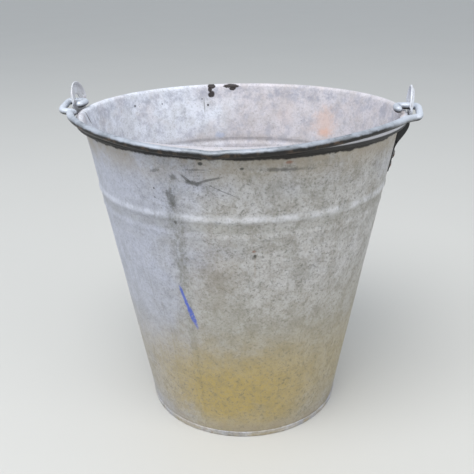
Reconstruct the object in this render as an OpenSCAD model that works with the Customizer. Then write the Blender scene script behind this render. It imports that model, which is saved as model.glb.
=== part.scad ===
// Twelve-litre galvanised steel bucket with a wire bail folded down on the front of the rim.
// Origin at the centre of the base on the ground, +Z up, bail hinge along X, bail folded towards -Y.

/* [Body] */
// Outside diameter over the rolled rim
rim_d = 290; // [286:1:294]
// Outside diameter over the folded seam at the ground
base_d = 185; // [180:1:190]
// Height from the ground to the top of the rim
body_h = 286; // [282:1:290]
// Thickness of the galvanised sheet
sheet_t = 0.8; // [0.7:0.05:0.9]
// Outside diameter of the rolled rim
bead_d = 7; // [6.5:0.25:7.5]
// Part of the circle that the rolled rim leaves open against the wall, in degrees
curl_gap = 50; // [46:1:70]
// Height of the floor's underside above the ground
floor_up = 8; // [7:1:12]
// Height of the folded seam around the base
chime_h = 6; // [5:0.5:7]

/* [Ribs and side seam] */
// Height of the upper rib's crest
upper_rib_z = 226; // [218:1:226]
// How far the upper rib stands out
upper_rib_out = 0.9; // [0.6:0.1:1.5]
// Height of the lower rib's crest
lower_rib_z = 211.5; // [195:0.5:211.5]
// How far the lower rib stands out
lower_rib_out = 0.4; // [0.3:0.1:1]
// Height of one rib along the wall
rib_h = 9; // [7:0.5:10]
// Width of the folded side seam
seam_w = 6; // [5:0.5:8]
// How far the side seam stands out of the wall
seam_out = 0.8; // [0.5:0.1:1.2]
// Angle of the side seam, counted from +X towards +Y
seam_at = -105; // [-120:1:-60]

/* [Ears] */
// Height of the bail's hinge axis above the rim
hinge_up = 4.2; // [4:0.1:5]
// Distance from the bucket's axis to the middle of the left ear, at the hinge
left_ear_x = 152; // [150:0.25:152]
// Distance from the bucket's axis to the middle of the right ear, at the hinge
right_ear_x = 147; // [147:0.25:148]
// Outward lean of the left ear's head, in degrees: it has been bent out
left_lean = 12; // [9:0.5:12]
// Outward lean of the right ear's head, in degrees
right_lean = 5; // [4:0.5:6]
// Thickness of the ear's plate
ear_t = 1.4; // [1.2:0.1:1.5]
// Radius of the ear's round head
head_r = 16.2; // [14:0.2:16.2]
// Depth of the head's turned-in border
border_h = 2.5; // [1.5:0.25:2.75]
// Radius of the hole for the bail
hole_r = 5.2; // [5:0.1:5.4]
// Height of the hole's centre above the hinge axis
hole_up = 1.6; // [1.2:0.1:1.6]
// Half width of the ear's neck
neck_half = 9; // [8:0.5:11]
// Half width of the ear's riveted leaf
leaf_half = 13; // [11:0.5:13]
// Height of the leaf's lower tip
leaf_foot = 231.5; // [231:0.5:236]

/* [Rivets] */
// Radius of a rivet's shank
rivet_r = 2; // [1.5:0.1:2.5]
// Radius of a rivet's outer head
rivet_head_r = 4; // [3.5:0.1:4.5]
// Height of a rivet's outer head
rivet_head_h = 1.8; // [1.4:0.1:2.2]
// Sideways distance of the upper two rivets from the middle
rivet_side = 7; // [6.5:0.5:7.5]
// Height of the upper two rivets
rivet_upper_z = 250; // [249:0.5:251]
// Height of the lower rivet
rivet_lower_z = 239; // [238:0.5:240]

/* [Bail] */
// Diameter of the bail's rod
rod_d = 6; // [5.5:0.25:6]
// Radius of the bail's arch
arch_r = 148.5; // [148.5:0.1:149]
// How far the grip bend at the middle stands out of the arch
grip_out = 1.5; // [0.5:0.25:3]
// How far the middle of the folded arch sags below its arms
arch_sag = 7; // [5:0.5:7]
// How far the grip bend sags below the arch
grip_sag = 1; // [0:0.25:1.5]
// Distance from the hinge axis to the shank that passes the ear
eye_len = 22; // [22:0.5:24]
// Slope of the folded shank below the level, in degrees
eye_slope = 13; // [10:1:14]
// Distance from the left ear to the eye's outer leg
left_outer = 8.5; // [8.5:0.25:9.5]
// Distance from the left ear to the eye's inner leg
left_inner = 8.5; // [8:0.25:10]
// Distance from the right ear to the eye's outer leg
right_outer = 6; // [6:0.25:8]
// Distance from the right ear to the eye's inner leg
right_inner = 12.5; // [9:0.25:12.5]

/* [Hidden] */
$fn = 96;

// Colours
zinc = [0.66, 0.66, 0.66];
zinc_light = [0.74, 0.75, 0.77];
zinc_dark = [0.52, 0.52, 0.51];
steel_dark = [0.40, 0.39, 0.38];

// Rolled rim
bead_r = bead_d / 2;
core_r = bead_r - sheet_t;
wire_play = 0.05;
bead_c = [rim_d / 2 - bead_r, body_h - bead_r];

// Cone of the wall: its inner face starts at the foot and runs tangent to the rolled rim
foot_r = base_d / 2 - 2 * sheet_t;
foot_to_bead = bead_c - [foot_r, 0];
wall_lean = atan2(foot_to_bead.x, foot_to_bead.y) - asin(bead_r / norm(foot_to_bead));
wall_w = sheet_t / cos(wall_lean);
rib_steps = 10;
seam_top = body_h - bead_d - 1;
seam_foot = chime_h + 0.5;
seam_bite = sheet_t / 2;
seam_sweep = 12;

// Folded seam at the base
fold_soft = 0.4;

// Ears
hinge_z = body_h + hinge_up;
neck_z = 276;
joggle_z = 255;
joggle_steps = 8;
leaf_bite = 1;
leaf_tip_r = 6.5;
leaf_corner_r = 5;
shoulder_z = 250;
border_sweep = 200;
outline_fn = 32;

// Rivets
rivet_play = 0.03;
rivet_tail_r = 3.2;
rivet_tail_h = 1;
tail_gap = 0.05;
RIVETS = [
    [-rivet_side, rivet_upper_z],
    [rivet_side, rivet_upper_z],
    [0, rivet_lower_z]
];

// Bail
rod_r = rod_d / 2;
rod_sides = 12;
pin_grow = 0.05;
pin_l = 5;
eye_tip = 14.5;
eye_level = 1.5;
eye_tip_back = 4;
join_x = 146.5;
join_w = 3;
bend_steps = 6;
eye_bend = 5;
shank_bend = 6;
join_bend = 8;
arch_from = 68;
arch_step = 4;
arm_drop = 0.3;
sag_end = 60;

// Each side as [distance of the ear, lean, outer leg, inner leg]
LEFT = [left_ear_x, left_lean, left_outer, left_inner];
RIGHT = [right_ear_x, right_lean, right_outer, right_inner];

// How far a rib of height `out` at zc pushes the wall outwards at height z
function rib(z, zc, out) =
    abs(z - zc) < rib_h / 2 ? out * (1 + cos(360 * (z - zc) / rib_h)) / 2 : 0;

function wall_in(z) =
    foot_r + z * tan(wall_lean)
    + rib(z, upper_rib_z, upper_rib_out)
    + rib(z, lower_rib_z, lower_rib_out);

function wall_out(z) = wall_in(z) + wall_w;

function rib_levels(zc) = [for (i = [0 : rib_steps]) zc + rib_h * (i / rib_steps - 1 / 2)];

function band_levels(foot, top) =
    concat([foot], rib_levels(lower_rib_z), rib_levels(upper_rib_z), [top]);

function reversed(list) = [for (i = [len(list) - 1 : -1 : 0]) list[i]];

// Point on a circle of radius r about the rolled rim's centre, where the wall meets it
function curl_start(r) = bead_c + r * [-cos(wall_lean), sin(wall_lean)];

function polar(r, a) = r * [cos(a), sin(a)];

module wall_profile() {
    levels = concat([sheet_t], rib_levels(lower_rib_z), rib_levels(upper_rib_z));
    inner = [for (z = levels) [wall_in(z), z]];
    outer = [for (z = reversed(levels)) [wall_out(z), z]];
    polygon(concat(inner, [curl_start(bead_r), curl_start(core_r)], outer));
}

module curl_profile() {
    reach = 2 * bead_r;
    first = 180 - wall_lean;
    translate(bead_c)
        difference() {
            circle(r = bead_r);
            circle(r = core_r);
            polygon([
                [0, 0],
                polar(reach, first),
                polar(reach, first + curl_gap / 2),
                polar(reach, first + curl_gap)
            ]);
        }
}

// Folded strip where the two edges of the sheet lock together
module side_seam() {
    levels = band_levels(seam_foot, seam_top);
    outer = [for (z = levels) [wall_out(z) + seam_out, z]];
    inner = [for (z = reversed(levels)) [wall_out(z) - seam_bite, z]];
    intersection() {
        rotate_extrude(angle = seam_sweep, start = seam_at - seam_sweep / 2)
            polygon(concat(outer, inner));
        rotate([0, 0, seam_at])
            translate([0, -seam_w / 2, 0])
                cube([rim_d, seam_w, body_h]);
    }
}

// Moves its children to a rivet's place on the +X side, with +Z pointing out of the wall
module at_rivet(place) {
    translate([wall_out(place.y), place.x, place.y])
        rotate([0, 90 + wall_lean, 0])
            children();
}

module rivet_holes() {
    drill = 6 * ear_t;
    for (place = RIVETS)
        at_rivet(place)
            cylinder(r = rivet_r, h = drill, center = true);
}

module wall_sheet() {
    color(zinc)
        difference() {
            union() {
                rotate_extrude()
                    union() {
                        wall_profile();
                        curl_profile();
                    }
                side_seam();
            }
            rivet_holes();
            mirror([1, 0, 0])
                rivet_holes();
        }
}

// Recessed floor whose flange runs down inside the wall and folds up around its lower edge
module base_disc() {
    floor_top = floor_up + sheet_t;
    color(zinc_dark)
        rotate_extrude()
            polygon([
                [0, floor_up],
                [wall_in(floor_up) - wall_w, floor_up],
                [wall_in(fold_soft) - wall_w, fold_soft],
                [wall_in(0) - wall_w + fold_soft, 0],
                [wall_out(0) + wall_w - fold_soft, 0],
                [wall_out(fold_soft) + wall_w, fold_soft],
                [wall_out(chime_h - fold_soft) + wall_w, chime_h - fold_soft],
                [wall_out(chime_h) + wall_w - fold_soft, chime_h],
                [wall_out(chime_h), chime_h],
                [wall_out(sheet_t), sheet_t],
                [wall_in(sheet_t), sheet_t],
                [wall_in(floor_top), floor_top],
                [0, floor_top]
            ]);
}

// Steel wire inside the rolled rim
module rim_wire() {
    color(steel_dark)
        rotate_extrude()
            translate(bead_c)
                circle(r = core_r - wire_play);
}

// Outer face of the ear at height z: the leaning plate, the joggle over the rim, the riveted leaf
function ease(t) = (1 - cos(180 * min(1, max(0, t)))) / 2;
function plate_w(side) = ear_t / cos(side[1]);
function plate_out(z, side) = side[0] + plate_w(side) / 2 + (z - hinge_z) * tan(side[1]);
function leaf_out(z) = wall_out(z) + ear_t / cos(wall_lean);
function ear_out(z, side) =
    let (k = ease((z - joggle_z) / (neck_z - joggle_z)))
    k * plate_out(z, side) + (1 - k) * leaf_out(z);

module ear_side(side) {
    ear_w = plate_w(side);
    rise = neck_z - joggle_z;
    levels = [for (i = [0 : joggle_steps]) joggle_z + rise * i / joggle_steps];
    back_foot = leaf_out(leaf_foot) - ear_w - leaf_bite;
    back_top = leaf_out(joggle_z) - ear_w - leaf_bite;
    outer = concat([[leaf_out(leaf_foot), leaf_foot]], [for (z = levels) [ear_out(z, side), z]]);
    inner = [for (z = reversed(levels)) [ear_out(z, side) - ear_w, z]];
    polygon(concat(
        outer,
        [[plate_out(hinge_z, side), hinge_z], [plate_out(hinge_z, side) - ear_w, hinge_z]],
        inner,
        [[back_top, joggle_z], [back_foot, leaf_foot]]
    ));
}

// Front view of the neck and the leaf
module ear_outline() {
    hull()
        for (side = [-1, 1]) {
            translate([side * (leaf_half - leaf_corner_r), shoulder_z])
                circle(r = leaf_corner_r, $fn = outline_fn);
            translate([0, leaf_foot + leaf_tip_r])
                circle(r = leaf_tip_r, $fn = outline_fn);
        }
    hull() {
        translate([0, shoulder_z])
            square([2 * neck_half + leaf_corner_r, leaf_corner_r], center = true);
        translate([0, neck_z - leaf_corner_r])
            square([2 * neck_half, 1], center = true);
    }
    translate([-neck_half, shoulder_z])
        square([2 * neck_half, hinge_z - shoulder_z]);
}

// Moves its children to the head's centre, with +Z pointing out of the plate
module at_head(side) {
    translate([side[0] + hole_up * tan(side[1]), 0, hinge_z + hole_up])
        rotate([0, 90 + side[1], 0])
            children();
}

module ear_head() {
    cylinder(r = head_r, h = ear_t, center = true);
    rotate_extrude(angle = border_sweep, start = 180 - border_sweep / 2)
        translate([head_r - ear_t, -ear_t / 2 - border_h])
            square([ear_t, border_h + ear_t]);
}

// Stamped ear, drawn on the +X side
module ear(side) {
    difference() {
        union() {
            intersection() {
                rotate([90, 0, 0])
                    linear_extrude(height = 2 * leaf_half, center = true)
                        ear_side(side);
                rotate([90, 0, 90])
                    linear_extrude(height = rim_d)
                        ear_outline();
            }
            at_head(side)
                ear_head();
        }
        cylinder(
            r1 = foot_r + wall_w,
            r2 = foot_r + wall_w + joggle_z * tan(wall_lean),
            h = joggle_z
        );
        at_head(side)
            cylinder(r = hole_r, h = 4 * ear_t, center = true);
        rivet_holes();
    }
}

module left_ear() {
    color(zinc_light)
        mirror([1, 0, 0])
            ear(LEFT);
}

module right_ear() {
    color(zinc_light)
        ear(RIGHT);
}

// Rivet on the +X side: shank, domed outer head and flat tail inside the bucket
module rivet(index) {
    place = RIVETS[index];
    edge = abs(place.x) + rivet_tail_r;
    tail_z = -wall_w - edge * edge / (2 * wall_in(place.y)) - tail_gap;
    dome_r = (rivet_head_r * rivet_head_r + rivet_head_h * rivet_head_h) / (2 * rivet_head_h);
    color(zinc_dark)
        at_rivet(place) {
            translate([0, 0, tail_z - rivet_tail_h / 2])
                cylinder(r = rivet_r - rivet_play, h = ear_t + rivet_head_h / 2 - tail_z);
            translate([0, 0, tail_z - rivet_tail_h])
                cylinder(r = rivet_tail_r, h = rivet_tail_h);
            intersection() {
                translate([0, 0, ear_t + rivet_head_h - dome_r])
                    sphere(r = dome_r);
                translate([0, 0, ear_t])
                    cylinder(r = 2 * rivet_head_r, h = 2 * rivet_head_h);
            }
        }
}

module left_rivet(index) {
    mirror([1, 0, 0])
        rivet(index);
}

// Point of the bail's eye: x out from the axis, w away from the hinge axis, slope down in degrees
function eye_point(x, w, slope) = [x, -w * cos(slope), hinge_z - w * sin(slope)];

// Point of the arch at angle a from the middle, out by r and lower by drop
function arch_point(a, r, drop) = [r * sin(a), -r * cos(a), hinge_z - drop];

function arch_drop(a) = arm_drop + arch_sag * pow(cos(90 * min(1, a / sag_end)), 2);

// Corners of one half, drawn on the +X side, each with the length of its bend
function half_corners(side) =
    let (outer = side[0] + side[2], inner = side[0] - side[3])
    concat(
        [
            [eye_point(inner + eye_tip_back, eye_tip, eye_level), 0],
            [eye_point(inner, eye_tip, eye_level), eye_bend],
            [eye_point(inner, 0, eye_level), eye_bend],
            [eye_point(outer, 0, eye_level), eye_bend],
            [eye_point(outer, eye_len, eye_slope), shank_bend],
            [eye_point(join_x, eye_len + join_w, eye_slope), join_bend]
        ],
        [
            for (a = [arch_from : -arch_step : arch_step])
                [arch_point(a, arch_r, arch_drop(a)), arch_step]
        ]
    );

function flip_x(corner) = [[-corner[0].x, corner[0].y, corner[0].z], corner[1]];

function all_corners() = concat(
    half_corners(RIGHT),
    [[arch_point(0, arch_r + grip_out, arch_drop(0) + grip_sag), join_bend]],
    [for (corner = reversed(half_corners(LEFT))) flip_x(corner)]
);

// Rounds the corner at b between a and c, starting and ending `bend` away from it
function bend_points(a, b, c, bend) =
    let (
        da = min(bend, norm(a - b) / 2.1),
        dc = min(bend, norm(c - b) / 2.1),
        p = b + da * (a - b) / norm(a - b),
        q = b + dc * (c - b) / norm(c - b),
        steps = bend > arch_step ? bend_steps : 1
    )
    [for (i = [0 : steps]) let (t = i / steps) (1 - t) * (1 - t) * p + 2 * t * (1 - t) * b + t * t * q];

function rod_path(corners) =
    let (last = len(corners) - 1)
    concat(
        [corners[0][0]],
        [
            for (i = [1 : last - 1])
                for (p = bend_points(corners[i - 1][0], corners[i][0], corners[i + 1][0], corners[i][1])) p
        ],
        [corners[last][0]]
    );

function unit(v) = v / norm(v);

// Ring of points around p, square to the direction t
function rod_ring(p, t) =
    let (side = unit(cross(t, [0, 0, 1])), up = cross(side, t))
    [
        for (k = [0 : rod_sides - 1])
            let (a = 360 * k / rod_sides)
            p + rod_r * (cos(a) * side + sin(a) * up)
    ];

module rod(path) {
    last = len(path) - 1;
    points = [
        for (i = [0 : last])
            each rod_ring(path[i], unit(path[min(i + 1, last)] - path[max(i - 1, 0)]))
    ];
    skin = [
        for (i = [0 : last - 1])
            for (k = [0 : rod_sides - 1])
                let (
                    a = i * rod_sides + k,
                    b = i * rod_sides + (k + 1) % rod_sides,
                    c = a + rod_sides,
                    d = b + rod_sides
                )
                each [[a, b, d], [a, d, c]]
    ];
    first_cap = reversed([for (k = [0 : rod_sides - 1]) k]);
    last_cap = [for (k = [0 : rod_sides - 1]) last * rod_sides + k];
    polyhedron(points = points, faces = concat(skin, [first_cap, last_cap]));
}

// Folded wire handle with an eye through each ear
module bail() {
    color(steel_dark) {
        rod(rod_path(all_corners()));
        for (x = [-left_ear_x, right_ear_x])
            translate([x, 0, hinge_z])
                rotate([0, 90, 0])
                    cylinder(r = rod_r + pin_grow, h = pin_l, center = true);
    }
}

wall_sheet();
base_disc();
rim_wire();
left_ear();
left_rivet(0);  // left_rivet_front
left_rivet(1);  // left_rivet_rear
left_rivet(2);  // left_rivet_lower
right_ear();
rivet(0);  // right_rivet_front
rivet(1);  // right_rivet_rear
rivet(2);  // right_rivet_lower
bail();
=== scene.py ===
import math

import bmesh
import bpy
from mathutils import Matrix, Vector, noise


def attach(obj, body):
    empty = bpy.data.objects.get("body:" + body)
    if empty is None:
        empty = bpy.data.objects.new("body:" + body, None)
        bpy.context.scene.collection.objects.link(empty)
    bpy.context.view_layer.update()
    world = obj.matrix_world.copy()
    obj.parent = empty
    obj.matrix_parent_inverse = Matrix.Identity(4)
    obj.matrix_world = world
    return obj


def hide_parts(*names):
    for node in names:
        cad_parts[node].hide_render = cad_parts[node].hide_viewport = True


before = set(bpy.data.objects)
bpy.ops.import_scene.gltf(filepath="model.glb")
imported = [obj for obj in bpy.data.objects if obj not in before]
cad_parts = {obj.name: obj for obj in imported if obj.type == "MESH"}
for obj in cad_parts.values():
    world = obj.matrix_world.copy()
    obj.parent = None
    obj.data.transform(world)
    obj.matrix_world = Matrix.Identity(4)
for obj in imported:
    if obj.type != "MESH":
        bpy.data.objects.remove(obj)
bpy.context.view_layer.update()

MM = 0.001

# Bucket body, as in the CAD source; only the side seam stands out a little less
RIM_R = 145 * MM
BODY_H = 286 * MM
FOOT_R = 90.9 * MM
SHEET = 0.8 * MM
BEAD_R = 3.5 * MM
BEAD_C = (RIM_R - BEAD_R, BODY_H - BEAD_R)
BEAD_TURN = 310
FOOT_TO_BEAD = (BEAD_C[0] - FOOT_R, BEAD_C[1])
WALL_LEAN = math.atan2(*FOOT_TO_BEAD) - math.asin(BEAD_R / math.hypot(*FOOT_TO_BEAD))
WALL_W = SHEET / math.cos(WALL_LEAN)
CHIME_H = 6 * MM
FLOOR_UP = 8 * MM
UPPER_RIB_Z = 226 * MM
UPPER_RIB_OUT = 0.9 * MM
LOWER_RIB_Z = 211.5 * MM
LOWER_RIB_OUT = 0.4 * MM
RIB_H = 9 * MM
SEAM_AT = -105
SEAM_W = 6 * MM
SEAM_OUT = 0.63 * MM
SEAM_TOP = BODY_H - 8.2 * MM

# Columns of the wall, in degrees: close together this near to the side seam
NEAR_SEAM = 2.6
CLOSE_STEP = 0.2
WIDE_STEP = 1.0
# Faces of the rolled rim, next to the inner wall, that have the inside's material
BEAD_INSIDE = 12

# Ears, rivets and bail, as in the CAD source; only the rivets are a little smaller
HINGE_Z = BODY_H + 4.2 * MM
LEFT_EAR_X = 152 * MM
RIGHT_EAR_X = 147 * MM
EARS = {-1: (LEFT_EAR_X, math.radians(12)), 1: (RIGHT_EAR_X, math.radians(5))}
LEFT_OUTER = 8.5 * MM
LEFT_INNER = 8.5 * MM
RIGHT_OUTER = 6 * MM
RIGHT_INNER = 12.5 * MM
EAR_T = 1.4 * MM
HEAD_R = 16.2 * MM
HOLE_R = 5.2 * MM
HOLE_UP = 1.6 * MM
BORDER_H = 2.5 * MM
NECK_HALF = 9 * MM
NECK_Z = 276 * MM
JOGGLE_Z = 255 * MM
LEAF_HALF = 13 * MM
LEAF_FOOT = 231.5 * MM
LEAF_TIP_H = 6 * MM
LEAF_TIP_HALF = 8.5 * MM
LEAF_TAPER_H = 18 * MM
LEAF_TOP = 251 * MM
NECK_FOOT = 263 * MM
RIVET_SIDE = 7 * MM
RIVET_UPPER_Z = 250 * MM
RIVET_LOWER_Z = 239 * MM
RIVET_HEAD_R = 4 * MM
RIVET_HEAD_H = 1.5 * MM
RIVET_SHANK_R = 1.9 * MM
RIVET_TAIL_R = 3.1 * MM
RIVET_TAIL_H = 0.95 * MM
ROD_R = 3 * MM
ROD_SIDES = 20
ROD_WEAR = 0.055
EYE_TIP = 14.5 * MM
EYE_TIP_BACK = 4 * MM
EYE_LEVEL = 1.5
EYE_LEN = 22 * MM
EYE_SLOPE = 13
EYE_BEND = 5 * MM
SHANK_BEND = 6 * MM
JOIN_X = 146.5 * MM
JOIN_LEN = 25 * MM
JOIN_BEND = 8 * MM
ARCH_R = 148.5 * MM
ARCH_SAG = 7 * MM
ARCH_FROM = 68
ARCH_STEP = 4
ARCH_BEND = 4 * MM
ARM_DROP = 0.3 * MM
SAG_END = 60
GRIP_OUT = 1.5 * MM
GRIP_SAG = 1 * MM


def smooth(value, low, high):
    """0 at low, 1 at high, and a smooth step between them."""
    t = min(1, max(0, (value - low) / (high - low)))
    return t * t * (3 - 2 * t)


def apart(angle, other):
    """Degrees from other to angle, in -180 to 180."""
    return (angle - other + 180) % 360 - 180


def azimuth(angle):
    """Degrees from the front, -Y, towards +X, of an angle counted from +X, in -180 to 180."""
    return apart(angle, -90)


def rib(z, crest, out):
    """How far a rib pushes the wall out at height z."""
    if abs(z - crest) >= RIB_H / 2:
        return 0
    return out * (1 + math.cos(2 * math.pi * (z - crest) / RIB_H)) / 2


def wall_in(z):
    """Radius of the wall's inner face at height z."""
    ribs = rib(z, UPPER_RIB_Z, UPPER_RIB_OUT) + rib(z, LOWER_RIB_Z, LOWER_RIB_OUT)
    return FOOT_R + z * math.tan(WALL_LEAN) + ribs


def wall_out(z):
    """Radius of the wall's outer face at height z."""
    return wall_in(z) + WALL_W


# ---------------------------------------------------------------- mesh helpers

def linked(name, data):
    """A new object in the scene that shows data: a mesh, a light or a camera."""
    made = bpy.data.objects.new(name, data)
    bpy.context.scene.collection.objects.link(made)
    return made


def mesh_object(name, points, faces, materials, face_slots):
    """Smooth mesh with doubles merged. face_slots gives each face's material."""
    mesh = bpy.data.meshes.new(name)
    mesh.from_pydata(points, [], faces)
    for material in materials:
        mesh.materials.append(material)
    mesh.polygons.foreach_set("material_index", face_slots)
    mesh.polygons.foreach_set("use_smooth", [True] * len(mesh.polygons))
    work = bmesh.new()
    work.from_mesh(mesh)
    bmesh.ops.remove_doubles(work, verts=work.verts, dist=1e-6)
    bmesh.ops.recalc_face_normals(work, faces=work.faces)
    work.to_mesh(mesh)
    work.free()
    return linked(name, mesh)


def revolve(name, profile, angles, place, materials, slot_of=lambda index: 0, closed=True):
    """Sweeps profile, a list of (r, z), around Z.

    place(r, z, angle, index) gives each point, and slot_of(index) each face's material.
    """
    count, turns = len(profile), len(angles)
    points = [place(r, z, a, k) for a in angles for k, (r, z) in enumerate(profile)]
    faces, slots = [], []
    for i in range(turns):
        for k in range(count if closed else count - 1):
            a, b = i * count + k, i * count + (k + 1) % count
            step = ((i + 1) % turns - i) * count
            faces.append((a, a + step, b + step, b))
            slots.append(slot_of(k))
    return mesh_object(name, points, faces, materials, slots)


def on_axis(r, z, angle):
    """Point at radius r and height z, angle degrees from +X."""
    a = math.radians(angle)
    return Vector((r * math.cos(a), r * math.sin(a), z))


def steps(low, high, count):
    """low to high in count even steps."""
    return [low + (high - low) * i / count for i in range(count + 1)]


# ------------------------------------------------------------ material helpers

def srgb(red, green, blue):
    """Linear colour of a display colour given in 0 to 255."""
    def linear(value):
        value /= 255
        return value / 12.92 if value <= 0.04045 else ((value + 0.055) / 1.055) ** 2.4
    return (linear(red), linear(green), linear(blue), 1)


class Graph:
    """The node tree of one material, with short calls for the nodes used here.

    color is the colour so far. Noise with another shift is another patch of the same noise.
    """

    def __init__(self, name, metallic, specular):
        self.material = bpy.data.materials.new(name)
        self.material.use_nodes = True
        self.tree = self.material.node_tree
        self.shader = self.tree.nodes["Principled BSDF"]
        self.shader.inputs["Metallic"].default_value = metallic
        self.shader.inputs["Specular IOR Level"].default_value = specular
        self.point = self.add("ShaderNodeTexCoord", {}, "Object")
        split = self.tree.nodes.new("ShaderNodeSeparateXYZ")
        self.tree.links.new(self.point, split.inputs[0])
        self.x, self.y, self.z = split.outputs
        normal = self.tree.nodes.new("ShaderNodeSeparateXYZ")
        self.tree.links.new(self.add("ShaderNodeTexCoord", {}, "Normal"), normal.inputs[0])
        self.across, _, self.up = normal.outputs
        self.color = None

    def add(self, kind, inputs, out=0, **settings):
        """A new node with its inputs linked or set. Gives the socket of number or name out."""
        node = self.tree.nodes.new(kind)
        for key, value in settings.items():
            setattr(node, key, value)
        for key, value in inputs.items():
            if isinstance(value, bpy.types.NodeSocket):
                self.tree.links.new(value, node.inputs[key])
            else:
                node.inputs[key].default_value = value
        return node.outputs[out]

    def math(self, operation, a, b=0.0):
        return self.add("ShaderNodeMath", {0: a, 1: b}, operation=operation)

    def times(self, a, b):
        return self.math("MULTIPLY", a, b)

    def plus(self, a, b):
        return self.math("ADD", a, b)

    def minus(self, a, b):
        return self.math("SUBTRACT", a, b)

    def line(self, value, slope, base):
        """slope times value, plus base."""
        return self.plus(self.times(value, slope), base)

    def away(self, value, centre=0.0):
        """How far value is from centre."""
        return self.math("ABSOLUTE", self.minus(value, centre))

    def step(self, value, low, high):
        """0 at low, 1 at high, smooth between; low may be above high."""
        inputs = {"Value": value, "From Min": low, "From Max": high}
        return self.add("ShaderNodeMapRange", inputs, interpolation_type="SMOOTHSTEP")

    def mix(self, factor, a, b, blend="MIX"):
        inputs = {0: factor, 6: a, 7: b}
        return self.add("ShaderNodeMix", inputs, 2, data_type="RGBA", blend_type=blend)

    def lay(self, over, *shares):
        """Lays a colour on the colour so far, by the product of the shares."""
        share = shares[0]
        for more in shares[1:]:
            share = self.times(share, more)
        self.color = self.mix(share, self.color, over)

    def noise(self, size, detail=3, rough=0.55, stretch=(1, 1, 1), shift=0, vector=None):
        """Noise of about 0 to 1 whose features are size metres across."""
        inputs = {"Vector": vector or self.point, "Scale": stretch, "Location": (shift,) * 3}
        moved = self.add("ShaderNodeMapping", inputs)
        inputs = {"Vector": moved, "Scale": 1 / size, "Detail": detail, "Roughness": rough}
        return self.add("ShaderNodeTexNoise", inputs)

    def length(self, a, b):
        """Length of the flat vector (a, b)."""
        pair = self.add("ShaderNodeCombineXYZ", {0: a, 1: b})
        return self.add("ShaderNodeVectorMath", {0: pair}, "Value", operation="LENGTH")

    def polar(self):
        """Sets azimuth in degrees from the front, radius, and a flat map of the wall."""
        back = self.times(self.y, -1)
        turn = self.math("ARCTAN2", self.x, back)
        self.azimuth = self.math("DEGREES", turn)
        self.radius = self.length(self.x, self.y)
        inputs = {0: self.times(turn, RIM_R), 2: self.z}
        self.wall_map = self.add("ShaderNodeCombineXYZ", inputs)
        self.ragged = self.minus(self.noise(6 * MM, 5, 0.65, shift=3), 0.5)

    def mark(self, turn, height, half_w, half_h, tilt, ragged, soft):
        """1 inside a ragged ellipse on the wall, with turn and tilt in degrees, sizes in mm."""
        offset = self.math("RADIANS", self.minus(self.azimuth, turn))
        across = self.times(offset, self.radius)
        up = self.minus(self.z, height * MM)
        c, s = math.cos(math.radians(tilt)), math.sin(math.radians(tilt))
        along = self.plus(self.times(across, c), self.times(up, s))
        over = self.minus(self.times(up, c), self.times(across, s))
        reach = self.length(self.times(along, 1 / MM / half_w), self.times(over, 1 / MM / half_h))
        reach = self.plus(reach, self.times(self.ragged, 2 * ragged))
        return self.step(reach, 1 + soft, 1 - soft)

    def marks(self, rows):
        """Lays the marks of a table on the colour so far."""
        for over, *place, strength in rows:
            self.lay(over, self.mark(*place), strength)

    def band(self, height, half_h, soft):
        """1 in a level band of the wall, in millimetres."""
        away = self.away(self.z, height * MM)
        return self.step(away, half_h * MM * (1 + soft), half_h * MM * (1 - soft))

    def finish(self, roughness, bump, bump_mm):
        """Links the colour so far, roughness and bump, and gives the material."""
        self.tree.links.new(self.color, self.shader.inputs["Base Color"])
        self.tree.links.new(roughness, self.shader.inputs["Roughness"])
        inputs = {"Height": bump, "Distance": bump_mm * MM, "Strength": 1.0}
        normal = self.add("ShaderNodeBump", inputs)
        self.tree.links.new(normal, self.shader.inputs["Normal"])
        return self.material


# ------------------------------------------------------------------- materials

# Grounds of the zinc
LILAC = srgb(172, 175, 188)
WARM = srgb(180, 178, 176)
INNER = srgb(198, 193, 197)
INNER_COOL = srgb(218, 222, 232)
PALE = srgb(214, 217, 225)
MOTTLE = srgb(222, 220, 215)

# Dirt, rust and wear, and painted shade and highlight
GRIME = srgb(88, 88, 82)
OLIVE = srgb(122, 121, 110)
OCHRE = srgb(172, 150, 86)
BROWN = srgb(136, 122, 102)
# Near-black: dark dots inside, painted shadow under the rim, painted shade on the ears' necks
SOOT_AND_SHADE = srgb(22, 21, 20)
RUST = srgb(124, 72, 44)
DEEP_RUST = srgb(32, 22, 18)
FLECK = srgb(78, 80, 74)
EARTH = srgb(142, 136, 116)
CLOD = srgb(134, 126, 100)
DARK_CLOD = srgb(104, 98, 76)
FOOT_DUST = srgb(150, 140, 128)
RIM_DUST = srgb(152, 142, 124)
SEAM_DIRT = srgb(98, 97, 84)
SMEAR = srgb(62, 63, 60)
CRAYON = srgb(72, 94, 184)
WORN_RIM = srgb(176, 173, 178)
# Painted highlight for the right side of the rolled rim
RIM_HIGHLIGHT = srgb(204, 206, 214)
# Painted shade for the rim's lower side at the front left, under the bail
RIM_SHADE = srgb(52, 48, 42)

# Stains of the inside
PEACH = srgb(210, 176, 156)
DEEP_PEACH = srgb(214, 168, 142)
BLUSH = srgb(200, 189, 186)
ROSE = srgb(196, 178, 172)
BLUE = srgb(150, 166, 196)
SLATE = srgb(150, 152, 165)
TIDE = srgb(134, 138, 154)
RIB_DUST = srgb(172, 164, 158)

# Steel of the rivets and the bail, with painted highlight and shade for the rod
RIVET_DARK = srgb(92, 88, 82)
RIVET_PALE = srgb(140, 138, 136)
WIRE_GREY = srgb(106, 111, 117)
WIRE_PALE = srgb(156, 162, 172)
# Painted highlight along the top of the bail's rod
WIRE_HIGHLIGHT = srgb(182, 188, 198)
WIRE_POLISHED = srgb(208, 214, 224)
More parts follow.
